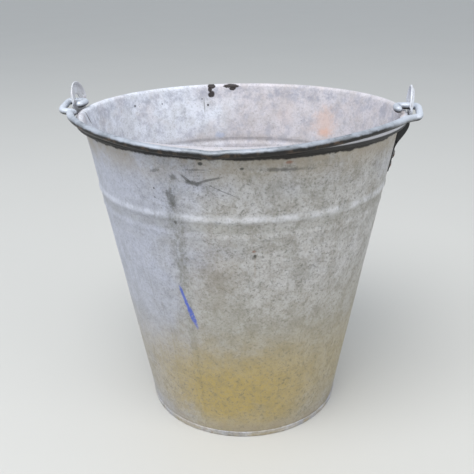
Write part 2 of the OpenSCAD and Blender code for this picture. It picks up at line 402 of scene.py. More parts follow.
# Painted shade for the underside of the bail's rod
WIRE_SHADE = srgb(30, 29, 28)
WIRE_BROWN = srgb(74, 60, 48)
WIRE_STAIN = srgb(120, 104, 86)

FLOOR_DARK = srgb(190, 189, 185)
FLOOR_PALE = srgb(193, 192, 188)

# Marks on the wall. Each row has a colour, then azimuth, height, half width, half height, tilt,
# raggedness and softness as Graph.mark takes them, then the strength.

# Large faint stains below the ribs and at the right
STAINS = [
    (BROWN, -1.5, 176, 15, 26, 0, 1.4, 0.9, 0.3),
    (OLIVE, 1, 152, 18, 34, 0, 1.4, 0.9, 0.22),
    (OLIVE, 25, 252, 42, 14, 0, 1.5, 0.9, 0.16),
]
# Smears, scratches and specks of the front, and two spots of rust
SMEARS = [
    (SMEAR, -6.9, 256.8, 5.2, 2.1, -8, 1.2, 0.35, 0.75),
    (SMEAR, -1.6, 260, 9.5, 0.9, 16, 1.1, 0.35, 0.6),
    (SMEAR, -9.4, 260, 4.6, 0.9, -38, 1.1, 0.35, 0.6),
    (SMEAR, -15.2, 243, 3.2, 6, 10, 2.2, 0.6, 0.55),
    (SMEAR, -14, 260.7, 3.2, 1.8, -25, 2.2, 0.6, 0.5),
    (SMEAR, -20, 263.8, 4, 1.4, 10, 1.6, 0.35, 0.5),
    (SMEAR, -14.9, 222.7, 1.2, 1.6, 0, 0.8, 0.35, 0.6),
    (SMEAR, -21.6, 249.1, 0.8, 0.8, 0, 0.2, 0.35, 0.8),
    (SMEAR, -21.8, 241.5, 0.7, 0.9, 0, 0.2, 0.35, 0.6),
    (SMEAR, 12.5, 195.7, 1.2, 1.5, 0, 0.2, 0.35, 0.9),
    (SMEAR, -4.4, 272.4, 1.9, 1.4, 0, 0.4, 0.35, 0.9),
    (SMEAR, 8.1, 269.1, 1.6, 1.0, 0, 0.6, 0.35, 0.8),
    (SMEAR, -6.3, 267.3, 8.4, 0.6, 3, 1.6, 0.7, 0.5),
    (SMEAR, 20.4, 267.4, 17, 1.2, -3, 2.4, 0.7, 0.6),
    (SMEAR, 1.8, 251.4, 11.5, 0.45, -24, 0.4, 0.35, 0.45),
    (BROWN, 12.6, 186, 0.7, 12, 0, 0.8, 0.35, 0.25),
    (RUST, 22.3, 272.8, 2.4, 1.2, 0, 1, 0.35, 0.6),
    (RUST, 12.1, 200, 1.3, 1.0, 0, 0.4, 0.35, 0.55),
]
INSIDE_STAINS = [
    (PEACH, 146.5, 250, 12, 14, 0, 1.2, 0.8, 0.5),
    (DEEP_PEACH, 145.5, 241, 7, 3.5, 0, 1.2, 0.8, 0.5),
    (BLUE, -161.3, 232, 4.5, 3.2, 0, 1.2, 0.6, 0.5),
    (GRIME, -154.6, 264.6, 0.55, 8.5, 0, 0.4, 0.35, 0.5),
    (ROSE, 168, 252, 8, 6, 0, 1.4, 0.9, 0.3),
]
INSIDE_DOTS = [
    (SOOT_AND_SHADE, -156.3, 265, 1.2, 1.3, 0, 0.3, 0.2, 0.85),
    (SOOT_AND_SHADE, -153.7, 271.7, 0.8, 0.8, 0, 0.3, 0.2, 0.85),
    (SOOT_AND_SHADE, -119.4, 273.5, 1.1, 1.1, 0, 0.3, 0.2, 0.85),
    (SOOT_AND_SHADE, -134, 270.8, 0.9, 0.7, 0, 0.3, 0.2, 0.85),
]
# Rusty patches at the rear of the rim and, last, a thin dark line at the left ear
RIM_DAMAGE = [
    (DEEP_RUST, -158.2, 276.5, 3.6, 3.6, 0, 0.7, 0.15, 0.96),
    (DEEP_RUST, -158.6, 284.5, 4.2, 2.4, 0, 0.7, 0.15, 0.96),
    (DEEP_RUST, -157.6, 280.5, 2.4, 2.4, 0, 0.7, 0.15, 0.96),
    (DEEP_RUST, -167.6, 283.8, 8.6, 1.9, 0, 0.9, 0.15, 0.96),
    (DEEP_RUST, -167.9, 281.4, 3.6, 2.2, 0, 0.7, 0.15, 0.96),
    # Thin dark line at the left ear, beside the rim
    (DEEP_RUST, -82, 279, 0.65, 9, -40, 0.2, 0.3, 0.96),
]
# Two strokes of wax crayon, as Graph.mark takes them
CRAYON_STROKES = [
    (-16, 151, 1.5, 11.5, 17, 0.5, 0.3),
    (-13.6, 135, 2.1, 11.5, 16, 0.5, 0.3),
]


def zinc_ground(g, cool, warm, lean_to_cool, calm=0.0):
    """Cloudy zinc with crystal flakes, fine grain and specks. Returns the grain."""
    clouds = g.noise(60 * MM, 3, 0.55)
    g.color = g.mix(g.step(g.plus(clouds, lean_to_cool), 0.3, 0.7), warm, cool)
    lively = g.minus(1.0, calm)
    mottle = g.noise(15 * MM, 5, 0.66, shift=1)
    patches = g.times(g.step(mottle, 0.6, 0.36), lively)
    g.color = g.mix(patches, g.color, MOTTLE, "MULTIPLY")
    flakes = g.add("ShaderNodeTexVoronoi", {"Vector": g.point, "Scale": 1 / (4 * MM)}, "Color")
    flake = g.add("ShaderNodeSeparateColor", {0: flakes})
    g.lay(PALE, g.step(flake, 0.2, 0.9), 0.12)
    grain = g.noise(2 * MM, 5, 0.78, shift=2)
    g.lay(GRIME, g.step(grain, 0.5, 0.36), g.line(lively, 0.26, 0.14))
    g.lay(PALE, g.step(grain, 0.52, 0.7), 0.3)
    specks = g.noise(3 * MM, 2, 0.5, shift=5)
    g.lay(GRIME, g.step(specks, 0.28, 0.23), 0.6)
    return grain


def mottling(g, right, smudge, fleck):
    """Grey-olive mottling, fullest right of the seam, with long runs and large faint stains."""
    g.lay(OLIVE, g.step(smudge, 0.52, 0.34), g.times(right, 0.42))
    g.lay(FLECK, g.step(fleck, 0.47, 0.39), g.times(right, 0.66))
    runs = g.noise(5 * MM, 4, 0.6, stretch=(1, 1, 0.08), shift=9, vector=g.wall_map)
    below_ribs = g.step(g.z, 0.225, 0.17)
    g.lay(OLIVE, g.step(runs, 0.47, 0.3), g.times(below_ribs, 0.26))
    g.marks(STAINS)
    g.lay(EARTH, g.step(g.z, 0.18, 0.11), g.times(right, 0.52))


def ribs_and_seam(g, smudge):
    """Polished crest of the upper rib, dirt below both ribs, and the seam's mottled strip."""
    rubbed = g.line(g.step(smudge, 0.42, 0.58), 0.26, 0.1)
    g.lay(PALE, g.band(227.5, 2.8, 0.9), rubbed)
    g.lay(OLIVE, g.band(219.5, 4, 0.8), 0.26)
    g.lay(OLIVE, g.band(204, 3.5, 0.9), 0.1)
    seam_turn = azimuth(SEAM_AT)
    patchy = g.step(g.noise(7 * MM, 6, 0.8, stretch=(1, 1, 0.6), shift=11), 0.6, 0.4)
    strip = g.mark(seam_turn - 0.2, 208, 5.5, 56, 0, 1.5, 0.9)
    g.lay(SEAM_DIRT, strip, g.line(patchy, 0.5, 0.12))
    strip = g.mark(seam_turn + 0.6, 110, 3.2, 74, 0, 1.5, 0.9)
    g.lay(OLIVE, strip, g.line(patchy, 0.36, 0.08))


def ochre_and_dust(g, fleck):
    """Ochre on the lower third, partly soil and partly a painted reflection of the ground; clods,
    dust at the foot and brown under the rim.
    """
    blotches = g.noise(30 * MM, 6, 0.68, shift=13)
    front = g.step(g.away(g.azimuth, 3), 58, 8)
    rise = g.plus(g.z, g.times(g.minus(blotches, 0.5), 0.05))
    low = g.times(g.step(rise, 0.132, 0.06), g.line(g.step(rise, 0.008, 0.04), 0.5, 0.5))
    share = g.times(low, g.line(front, 0.56, 0.36))
    dusty = g.line(g.step(fleck, 0.36, 0.56), 0.45, 0.55)
    # Ochre: soil stain and in part a painted reflection of the ground
    g.lay(OCHRE, share, g.times(g.step(blotches, 0.05, 0.5), dusty))
    clods = g.noise(8 * MM, 6, 0.8, shift=16)
    g.lay(CLOD, g.step(clods, 0.54, 0.36), low, 0.42)
    g.lay(DARK_CLOD, g.step(fleck, 0.48, 0.4), low, 0.42)
    g.lay(FOOT_DUST, g.step(g.z, 0.02, 0.01), g.step(blotches, 0.4, 0.56), 0.4)
    g.lay(RIM_DUST, g.step(g.z, 0.25, 0.275), g.step(blotches, 0.3, 0.6), 0.7)


def rolled_rim(g, grain):
    """Rolled rim: worn top, painted highlight at the right, painted shade at the front left,
    painted shadow under it.
    """
    rolled = g.step(g.z, 0.2786, 0.2796)
    g.lay(WORN_RIM, rolled, g.step(g.up, 0.0, 0.7), g.step(grain, 0.3, 0.5))
    right = g.times(g.step(g.azimuth, 12, 40), g.step(g.azimuth, 175, 120))
    # Painted highlight on the roll at the right, except on its underside
    g.lay(RIM_HIGHLIGHT, rolled, g.step(g.up, -0.62, -0.3), right, 0.66)
    left = g.times(g.step(g.azimuth, 22, -4), g.step(g.azimuth, -95, -60))
    # Painted shade on the roll's lower side at the front left, where the bail shades it
    g.lay(RIM_SHADE, rolled, g.step(g.up, 0.5, 0.1), left, 0.72)
    front = g.line(g.step(g.away(g.azimuth, 15), 100, 60), 0.65, 0.3)
    # Painted shadow on the underside of the roll, strongest at the front
    g.lay(SOOT_AND_SHADE, g.times(rolled, g.step(g.up, -0.5, -0.72)), g.times(front, 0.95))
    # Ragged band of painted shadow on the wall just below the roll
    ragged = g.noise(9 * MM, 5, 0.7, shift=15)
    thick = g.plus(g.times(g.step(g.azimuth, -20, 12), 0.5), g.times(g.minus(ragged, 0.5), 5))
    edge = g.plus(g.z, g.times(thick, MM))
    g.lay(SOOT_AND_SHADE, g.step(edge, 0.2751, 0.2765), g.step(g.up, 0.2, -0.1), front)


def zinc_outside():
    """Outside of the wall: cool and calm at the left, warmer and dirtier at the right."""
    g = Graph("zinc_outside", 0.2, 0.4)
    g.polar()
    left = g.times(g.step(g.azimuth, 12, -42), g.step(g.azimuth, -172, -120))
    grain = zinc_ground(g, LILAC, WARM, g.line(left, 0.5, -0.18), g.times(left, 0.6))
    smudge = g.noise(16 * MM, 7, 0.78, shift=7)
    fleck = g.noise(3 * MM, 6, 0.85, shift=8)
    mottling(g, g.minus(0.92, g.times(left, 0.66)), smudge, fleck)
    ribs_and_seam(g, smudge)
    ochre_and_dust(g, fleck)
    g.marks(SMEARS)
    wax = g.step(g.noise(1.4 * MM, 3, 0.6, shift=17), 0.26, 0.48)
    for stroke in CRAYON_STROKES:
        g.lay(CRAYON, g.mark(*stroke), wax, 0.85)
    rolled_rim(g, grain)
    g.marks(RIM_DAMAGE)
    roughness = g.line(g.noise(9 * MM, shift=19), 0.25, 0.45)
    bump = g.plus(g.times(grain, 0.5), g.noise(14 * MM, 4, 0.5, shift=21))
    return g.finish(roughness, bump, 0.28)


def zinc_inside():
    """Inside of the wall: pale, cooler at the left, with a tide line and a few stains."""
    g = Graph("zinc_inside", 0.1, 0.4)
    g.polar()
    left = g.step(g.x, 0.03, -0.13)
    grain = zinc_ground(g, INNER_COOL, INNER, g.line(left, 0.4, -0.18), 0.4)
    blush = g.noise(30 * MM, 4, 0.6, shift=23)
    g.lay(BLUSH, g.step(blush, 0.5, 0.7), 0.35)
    smudge = g.noise(11 * MM, 7, 0.76, shift=25)
    g.lay(SLATE, g.step(smudge, 0.54, 0.36), 0.5)
    tide = g.noise(9 * MM, 5, 0.7, shift=27)
    g.lay(TIDE, g.band(276, 5, 0.7), g.step(tide, 0.4, 0.62), 0.5)
    g.lay(RIB_DUST, g.band(229.5, 3, 0.8), 0.2)
    g.marks(INSIDE_STAINS)
    g.marks(RIM_DAMAGE)
    g.marks(INSIDE_DOTS)
    silt = g.noise(26 * MM, 5, 0.65, shift=29)
    g.lay(BROWN, g.step(g.z, 0.12, 0.01), g.step(silt, 0.36, 0.6), 0.6)
    roughness = g.line(g.noise(9 * MM, shift=31), 0.22, 0.5)
    bump = g.plus(g.times(grain, 0.45), g.noise(16 * MM, 4, 0.5, shift=33))
    return g.finish(roughness, bump, 0.25)


def zinc_base():
    """Zinc of the base: ochre and rust on the ring near the ground, silt on the floor."""
    g = Graph("zinc_base", 0.2, 0.4)
    g.polar()
    grain = zinc_ground(g, LILAC, WARM, 0.0)
    dirt = g.noise(20 * MM, 5, 0.65, shift=35)
    near_ground = g.step(g.z, 0.007, 0.001)
    g.lay(OCHRE, g.step(dirt, 0.38, 0.6), g.line(near_ground, 0.25, 0.2))
    rust = g.noise(9 * MM, 5, 0.7, shift=37)
    g.lay(RUST, g.step(rust, 0.56, 0.66), near_ground, 0.4)
    g.lay(BROWN, g.step(g.z, 0.0082, 0.0086), g.step(g.radius, 0.094, 0.084), 0.55)
    roughness = g.line(g.noise(9 * MM, shift=39), 0.25, 0.5)
    bump = g.plus(g.times(grain, 0.5), g.noise(12 * MM, 4, 0.5, shift=41))
    return g.finish(roughness, bump, 0.3)


def zinc_ear():
    """Zinc of the ears: painted highlight on the edges, and painted shade with some rust on the
    neck and leaf, less on their outer faces.
    """
    g = Graph("zinc_ear", 0.3, 0.45)
    grain = zinc_ground(g, PALE, WARM, 0.1, 0.5)
    # Painted highlight along the ear's edges
    edge = g.add("ShaderNodeNewGeometry", {}, "Pointiness")
    g.lay(PALE, g.step(edge, 0.53, 0.6), 0.5)
    rust = g.noise(7 * MM, 5, 0.7, shift=43)
    g.lay(RUST, g.step(rust, 0.58, 0.7), 0.4)
    # Painted shade, with some rust, on the neck and leaf; less on the faces that look outwards
    neck = g.times(g.step(g.z, 0.288, 0.282), g.step(g.z, 0.226, 0.234))
    outward = g.step(g.away(g.across), 0.5, 0.9)
    g.lay(SOOT_AND_SHADE, neck, g.minus(0.96, g.times(outward, 0.62)))
    roughness = g.line(g.noise(5 * MM, shift=45), 0.25, 0.38)
    bump = g.plus(g.times(grain, 0.5), g.noise(6 * MM, 4, 0.5, shift=47))
    return g.finish(roughness, bump, 0.22)


def rivet_steel():
    """Dull steel with rust, for the rivets."""
    g = Graph("rivet_steel", 0.5, 0.45)
    g.color = g.mix(g.step(g.noise(2 * MM, 4, 0.65), 0.4, 0.6), RIVET_DARK, RIVET_PALE)
    rust = g.noise(3 * MM, 3, 0.6, shift=49)
    g.lay(RUST, g.step(rust, 0.52, 0.64), 0.6)
    roughness = g.line(g.noise(2 * MM, shift=51), 0.3, 0.4)
    return g.finish(roughness, g.noise(0.9 * MM, 4, 0.6, shift=53), 0.15)


def wire_steel():
    """Rod of the bail: mottled zinc with a painted highlight on top, painted shade and brown rust
    beneath, polished ends.
    """
    g = Graph("wire_steel", 0.35, 0.5)
    mottle = g.noise(24 * MM, 4, 0.6, shift=55)
    g.color = g.mix(g.step(mottle, 0.35, 0.65), WIRE_GREY, WIRE_PALE)
    pits = g.noise(1.8 * MM, 4, 0.7, shift=57)
    g.lay(GRIME, g.step(pits, 0.4, 0.28), 0.5)
    # Painted highlight along the top of the rod
    crest = g.noise(4 * MM, 4, 0.7, shift=58)
    g.lay(WIRE_HIGHLIGHT, g.step(g.up, 0.5, 0.9), g.step(crest, 0.35, 0.55), 0.4)
    # Painted shade beneath the rod, mixed with brown rust scale
    scale = g.noise(9 * MM, 4, 0.65, shift=59)
    under = g.mix(g.step(scale, 0.5, 0.66), WIRE_SHADE, WIRE_BROWN)
    wander = g.times(g.minus(g.noise(5 * MM, 4, 0.6, shift=60), 0.5), 0.7)
    facing_up = g.plus(g.up, wander)
    g.color = g.mix(g.step(facing_up, 0.0, 0.6), under, g.color)
    ends = g.step(g.away(g.x), 0.118, 0.142)
    g.lay(WIRE_POLISHED, ends, g.step(facing_up, -0.7, 0.2), 0.72)
    stain = g.noise(17 * MM, 5, 0.7, shift=61)
    g.lay(WIRE_STAIN, g.step(stain, 0.6, 0.72), 0.4)
    return g.finish(g.line(mottle, 0.25, 0.34), g.noise(1.5 * MM, 4, 0.65, shift=63), 0.18)


def pale_floor():
    """Plain matt floor of the studio, which isn't part of the object."""
    g = Graph("pale_floor", 0.0, 0.2)
    g.color = g.mix(g.noise(0.4, 2), FLOOR_DARK, FLOOR_PALE)
    roughness = g.line(g.noise(0.3, 2, shift=1), 0.05, 0.85)
    return g.finish(roughness, g.noise(0.02, 2, shift=2), 0.02)


OUTSIDE = zinc_outside()
INSIDE = zinc_inside()
BASE = zinc_base()
EAR = zinc_ear()
RIVET = rivet_steel()
WIRE = wire_steel()


# ------------------------------------------------------------------------ wall

# Dents: azimuth in degrees, height, size and depth in millimetres
DENTS = [
    (-3, 256, 10, 0.5),
    (38, 92, 22, 1.1),
    (-48, 150, 26, 0.8),
    (118, 128, 24, 1.3),
    (-134, 88, 20, 1.2),
    (168, 190, 26, 0.9),
    (14, 176, 30, 0.5),
]


def wobble(angle, z):
    """How far years of use have pushed the sheet outwards (+) or inwards (-) at a point.

    The foot, the rim and the sheet behind the ears are held, and stay where they are.
    """
    from_ear = abs(abs(azimuth(angle)) - 90)
    free = smooth(z, 0.008, 0.035) * smooth(z, 0.276, 0.262)
    free *= max(smooth(from_ear, 9, 20), smooth(z, 0.226, 0.205))
    wave = noise.noise(on_axis(2.1, 11 * z + 3, angle))
    fine = noise.noise(on_axis(5.5, 26 * z - 5, angle))
    push = 0.85 * wave + 0.3 * fine
    for turn, height, size, depth in DENTS:
        across = math.radians(apart(azimuth(angle), turn)) * wall_in(z)
        away = math.hypot(across, z - height * MM) / (size * MM)
        push -= depth * math.exp(-away * away)
    return free * push * MM


def seam_bulge(angle, z):
    """How far the folded side seam stands out: a steep left edge and a softer right one."""
    across = math.radians(apart(angle, SEAM_AT)) * wall_out(z)
    if abs(across) > SEAM_W:
        return 0
    step_up = smooth(across, -SEAM_W / 2, -SEAM_W / 2 + 0.5 * MM)
    step_down = smooth(across, SEAM_W / 2, SEAM_W / 2 - 1.1 * MM)
    rough = 1 + 0.25 * noise.noise(Vector((0, 0, 90 * z)))
    ends = smooth(z, CHIME_H, CHIME_H + 1.5 * MM) * smooth(z, SEAM_TOP, SEAM_TOP - 2.8 * MM)
    return SEAM_OUT * step_up * step_down * ends * rough


def wall_levels():
    """Heights of the wall's rings, closest on the ribs."""
    low = steps(1.2 * MM, LOWER_RIB_Z - RIB_H / 2, 52)
    ribs = steps(LOWER_RIB_Z - RIB_H / 2, UPPER_RIB_Z + RIB_H / 2, 44)
    high = steps(UPPER_RIB_Z + RIB_H / 2, BODY_H - 8 * MM, 14)
    return low + ribs[1:] + high[1:]


def wall_profile():
    """Closed loop of (r, z): outer wall upwards, inside of the roll, its outside, inner wall.

    Also gives where the outer wall ends and where the inner wall starts.
    """
    levels = wall_levels()
    first = math.pi - WALL_LEAN
    last = first - math.radians(BEAD_TURN)

    def arc(radius, start, end, count):
        x, z = BEAD_C
        turns = steps(start, end, count)
        return [(x + radius * math.cos(t), z + radius * math.sin(t)) for t in turns]

    outer = [(wall_out(z), z) for z in levels]
    inner = [(wall_in(z), z) for z in reversed(levels)]
    core = BEAD_R - SHEET
    loop = outer + arc(core, first, last, 30) + arc(BEAD_R, last, first, 40) + inner
    return loop, len(outer), len(loop) - len(inner)


def wall_angles():
    """Degrees of the wall's columns, closest at the side seam."""
    angles = []
    angle = 0.0
    while angle < 360:
        angles.append(angle)
        near_seam = abs(apart(angle, SEAM_AT)) < NEAR_SEAM
        angle += CLOSE_STEP if near_seam else WIDE_STEP
    return angles


def wall():
    """Wall sheet with its side seam, dents and ribs, and the rim rolled from it."""
    loop, outer_count, inner_start = wall_profile()

    def place(r, z, angle, index):
        r += wobble(angle, z)
        if index < outer_count:
            r += seam_bulge(angle, z)
        elif index < inner_start:
            worn = 1 - 0.03 * abs(noise.noise(on_axis(30, 0, angle)))
            r = BEAD_C[0] + (r - BEAD_C[0]) * worn
            z = BEAD_C[1] + (z - BEAD_C[1]) * worn
        return on_axis(r, z, angle)

    def slot_of(index):
        return 0 if index < inner_start - BEAD_INSIDE else 1

    piece = revolve("wall", loop, wall_angles(), place, [OUTSIDE, INSIDE], slot_of)
    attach(piece, "bucket")
    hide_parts("wall_sheet")


def base():
    """Floor with a flange inside the wall and a hem folded up around its foot.

    The profile runs from the middle of the underside around the hem to the middle of the top.
    """
    flange = WALL_W
    hem_out = wall_out(0) + flange
    top = FLOOR_UP + SHEET
    under = [(0, FLOOR_UP)] + [(r * MM, FLOOR_UP) for r in range(6, 88, 4)]
    inner = [(wall_in(z) - flange, z) for z in steps(FLOOR_UP, 0.8 * MM, 8)]
    roll = [(inner[-1][0] + 0.35 * MM, 0.25 * MM), (inner[-1][0] + 0.8 * MM, 0)]
    roll += [(hem_out - 0.8 * MM, 0), (hem_out - 0.3 * MM, 0.25 * MM)]
    hem_levels = steps(0.8 * MM, CHIME_H - 0.5 * MM, 8)
    hem = [(wall_out(z) + flange - 0.02 * MM, z) for z in hem_levels]
    lip = [(hem[-1][0] - 0.2 * MM, CHIME_H - 0.15 * MM)]
    lip.append((wall_out(CHIME_H) + 0.3 * MM, CHIME_H))
    back = [(wall_out(z) + 0.01 * MM, z) for z in steps(CHIME_H - 0.2 * MM, 1 * MM, 6)]
    tuck = [(wall_in(z), z) for z in steps(1 * MM, top, 8)]
    floor = [(r * MM, top) for r in range(88, 4, -4)] + [(0, top)]
    profile = under + inner + roll + hem + lip + back + tuck + floor
    upper = len(profile) - len(floor)

    def place(r, z, angle, index):
        if index < len(under) or index >= upper:
            wave = 0.5 * noise.noise(on_axis(28 * r, 4, angle)) * smooth(r, 0.086, 0.06)
            groove = 0.35 * smooth(r, 0.06, 0.066) * smooth(r, 0.078, 0.072)
            z += (wave - groove) * MM
        return on_axis(r, z, angle)

    piece = revolve("base", profile, steps(0, 358.5, 239), place, [BASE], closed=False)
    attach(piece, "bucket")
    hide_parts("base_disc")


# ------------------------------------------------------------------------ ears

def ear_face(y, z, ear_x, lean):
    """Outer face of the neck and leaf: the leaning plate that joggles in to the wall."""
    share = smooth(z, JOGGLE_Z - 1 * MM, NECK_Z)
    cone = math.sqrt((wall_out(z) + EAR_T / math.cos(WALL_LEAN)) ** 2 - y * y)
    plate = ear_x + EAR_T / math.cos(lean) / 2 + (z - HINGE_Z) * math.tan(lean)
    return share * plate + (1 - share) * cone


def ear_half(z):
    """Half width at height z: a rounded tip, a tapered and a full leaf, then the neck."""
    flare = smooth(z, NECK_FOOT, LEAF_TOP)
    half = NECK_HALF + (LEAF_HALF - NECK_HALF) * flare
    tip = z - LEAF_FOOT
    if z < RIVET_UPPER_Z:
        taper = (6 + 7.2 * math.sin(math.pi / 2 * min(1, tip / LEAF_TAPER_H))) * MM
        half = min(half, taper)
    if tip < LEAF_TIP_H:
        half = min(half, math.sqrt(max(0, 1 - (1 - tip / LEAF_TIP_H) ** 2)) * LEAF_TIP_HALF)
    return max(half, 0.4 * MM)


def ear_plate(ear_x, lean):
    """Points and faces of the neck and leaf, drawn on the +X side."""
    points, faces = [], []
    rows = steps(LEAF_FOOT + 0.1 * MM, BODY_H - 1 * MM, 46)
    across = steps(-1, 1, 14)
    for z in rows:
        for u in across:
            y = u * ear_half(z)
            outer = ear_face(y, z, ear_x, lean)
            points.append((outer - 0.02 * MM, y, z))
            points.append((outer - EAR_T, y, z))
    last_row, last_col = len(rows) - 1, len(across) - 1

    def index(i, j, side):
        return (i * len(across) + j) * 2 + side

    for i in range(last_row):
        for j in range(last_col):
            for side in (0, 1):
                quad = [index(i, j, side), index(i + 1, j, side)]
                quad += [index(i + 1, j + 1, side), index(i, j + 1, side)]
                faces.append(quad if side else quad[::-1])
        for j in (0, last_col):
            quad = [index(i, j, 0), index(i + 1, j, 0), index(i + 1, j, 1), index(i, j, 1)]
            faces.append(quad if j else quad[::-1])
    for j in range(last_col):
        for i in (0, last_row):
            quad = [index(i, j, 0), index(i, j + 1, 0), index(i, j + 1, 1), index(i, j, 1)]
            faces.append(quad[::-1] if i else quad)
    return points, faces


def ear_web(ear_x, lean, edge):
    """Turned-in edge of the neck, down to the wall, on the side that edge, -1 or 1, says."""
    points, faces = [], []
    levels = steps(253 * MM, 277.4 * MM, 20)
    for z in levels:
        for inset in (0.1, 1.3):
            y = edge * (NECK_HALF - inset * MM)
            foot = math.sqrt((wall_out(z) + 0.6 * MM) ** 2 - y * y)
            outer = max(ear_face(y, z, ear_x, lean) - 0.5 * MM, foot + 0.6 * MM)
            points += [(outer, y, z), (foot, y, z)]
    top = 4 * (len(levels) - 1)
    for a in range(0, top, 4):
        ring = (a, a + 1, a + 3, a + 2)
        for b, c in zip(ring, ring[1:] + ring[:1]):
            faces.append((b, c, c + 4, b + 4))
    faces.append((0, 2, 3, 1))
    faces.append((top, top + 1, top + 3, top + 2))
    return points, faces


def ear_head(ear_x, lean):
    """Round head: a ring of plate around the hole, with a turned-in border on its upper part."""
    centre = Vector((ear_x + HOLE_UP * math.tan(lean), 0, HINGE_Z + HOLE_UP))
    out = Vector((math.cos(lean), 0, -math.sin(lean)))
    up = Vector((math.sin(lean), 0, math.cos(lean)))
    radii = steps(HOLE_R, HEAD_R - 0.2 * MM, 14)
    turns, ring = 72, 2 * len(radii)
    points, faces = [], []
    for k in range(turns):
        a = 2 * math.pi * k / turns
        spoke = math.cos(a) * Vector((0, 1, 0)) + math.sin(a) * up
        turned = smooth(math.sin(a), -0.3, 0.05)
        line = []
        for r in radii:
            fold = smooth(r, HEAD_R - 4.6 * MM, HEAD_R - 0.9 * MM)
            line.append((r, -turned * BORDER_H * 0.95 * fold ** 1.4))
        for r, lift in line:
            points.append(centre + r * spoke + (lift + EAR_T / 2) * out)
        for r, lift in reversed(line):
            points.append(centre + r * spoke + (lift - EAR_T / 2) * out)
    for k in range(turns):
        this, following = k * ring, (k + 1) % turns * ring
        for m in range(ring):
            after = (m + 1) % ring
            faces.append((this + m, this + after, following + after, following + m))
    return points, faces


def ear(name, node, side):
    """Ear of one side: its overlapping parts, fused into one skin by a fine remesh."""
    ear_x, lean = EARS[side]
    points, faces = [], []
    parts = [ear_plate(ear_x, lean), ear_web(ear_x, lean, -1), ear_web(ear_x, lean, 1)]
    for more_points, more_faces in parts + [ear_head(ear_x, lean)]:
        first = len(points)
        points += [tuple(p) for p in more_points]
        faces += [[first + index for index in face] for face in more_faces]
    mesh = bpy.data.meshes.new(name)
    mesh.from_pydata(points, [], faces)
    work = bmesh.new()
    work.from_mesh(mesh)
    if side < 0:
        bmesh.ops.scale(work, vec=(-1, 1, 1), verts=work.verts)
    bmesh.ops.recalc_face_normals(work, faces=work.faces)
    work.to_mesh(mesh)
    work.free()
    mesh.materials.append(EAR)
    piece = linked(name, mesh)
    fuse = piece.modifiers.new("fuse", "REMESH")
    fuse.mode = "VOXEL"
    fuse.voxel_size = 0.42 * MM
    fuse.use_smooth_shade = True
    soften = piece.modifiers.new("soften", "SMOOTH")
    soften.factor = 0.5
    soften.iterations = 3
    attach(piece, "bucket")
    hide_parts(node)


def rivet(name, node, side, y, z):
    """Set rivet: a hammered dome outside, a shank, and a flatter head inside.

    Its profile runs from the inside out, with height 0 on the plane that touches the wall.
    """
    tail_r, tail_h = RIVET_TAIL_R, RIVET_TAIL_H
    tail = -WALL_W - (abs(y) + tail_r) ** 2 / (2 * wall_in(z)) - 0.05 * MM
    seat = EAR_T - y * y / (2 * wall_in(z))
    dome, dome_h = seat + 0.2 * MM, RIVET_HEAD_H - 0.2 * MM
    profile = [(0, tail - tail_h), (tail_r * 0.7, tail - tail_h)]
    profile += [(tail_r * 0.94, tail - tail_h * 0.8), (tail_r, tail - tail_h * 0.35)]
    profile += [(tail_r * 0.96, tail), (RIVET_SHANK_R, tail)]
    profile += [(RIVET_SHANK_R, seat - 0.05 * MM), (RIVET_HEAD_R * 0.98, seat + 0.05 * MM)]
    for degrees in steps(4, 90, 8):
        a = math.radians(degrees)
        profile.append((RIVET_HEAD_R * math.cos(a), dome + dome_h * math.sin(a)))
    profile[-1] = (0, seat + RIVET_HEAD_H)

    def place(r, height, angle, index):
        dimple = noise.noise(on_axis(600 * r, 300 * z + y * 900, angle))
        return on_axis(r * (1 + 0.04 * dimple), height + 0.09 * MM * dimple, angle)

    piece = revolve(name, profile, steps(0, 345, 23), place, [RIVET], closed=False)
    seated = Matrix.Translation((wall_out(z), y, z))
    seated = seated @ Matrix.Rotation(math.pi / 2 + WALL_LEAN, 4, "Y")
    piece.data.transform(seated)
    if side < 0:
        piece.data.transform(Matrix.Scale(-1, 4, (1, 0, 0)))
        piece.data.flip_normals()
    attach(piece, "bucket")
    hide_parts(node)


# ------------------------------------------------------------------------ bail

def eye_point(x, reach, slope):
    """Point reach in front of the hinge axis, on a line that slopes down by slope degrees."""
    s = math.radians(slope)
    return Vector((x, -reach * math.cos(s), HINGE_Z - reach * math.sin(s)))


def arch_point(turn, radius, extra=0):
    """Point of the folded arch, whose middle sags below its arms."""
    a = math.radians(turn)
    drop = ARM_DROP + ARCH_SAG * math.cos(math.radians(90 * min(1, turn / SAG_END))) ** 2
    return Vector((radius * math.sin(a), -radius * math.cos(a), HINGE_Z - drop - extra))


def half_corners(ear_x, outer, inner):
    """Corners of half of the rod's path, from the eye to the middle, with each bend's reach."""
    eye = [
        (eye_point(ear_x - inner + EYE_TIP_BACK, EYE_TIP, EYE_LEVEL), 0),
        (eye_point(ear_x - inner, EYE_TIP, EYE_LEVEL), EYE_BEND),
        (eye_point(ear_x - inner, 0, EYE_LEVEL), EYE_BEND),
        (eye_point(ear_x + outer, 0, EYE_LEVEL), EYE_BEND),
        (eye_point(ear_x + outer, EYE_LEN, EYE_SLOPE), SHANK_BEND),
        (eye_point(JOIN_X, JOIN_LEN, EYE_SLOPE), JOIN_BEND),
    ]
    turns = range(ARCH_FROM, 0, -ARCH_STEP)
    return eye + [(arch_point(turn, ARCH_R), ARCH_BEND) for turn in turns]


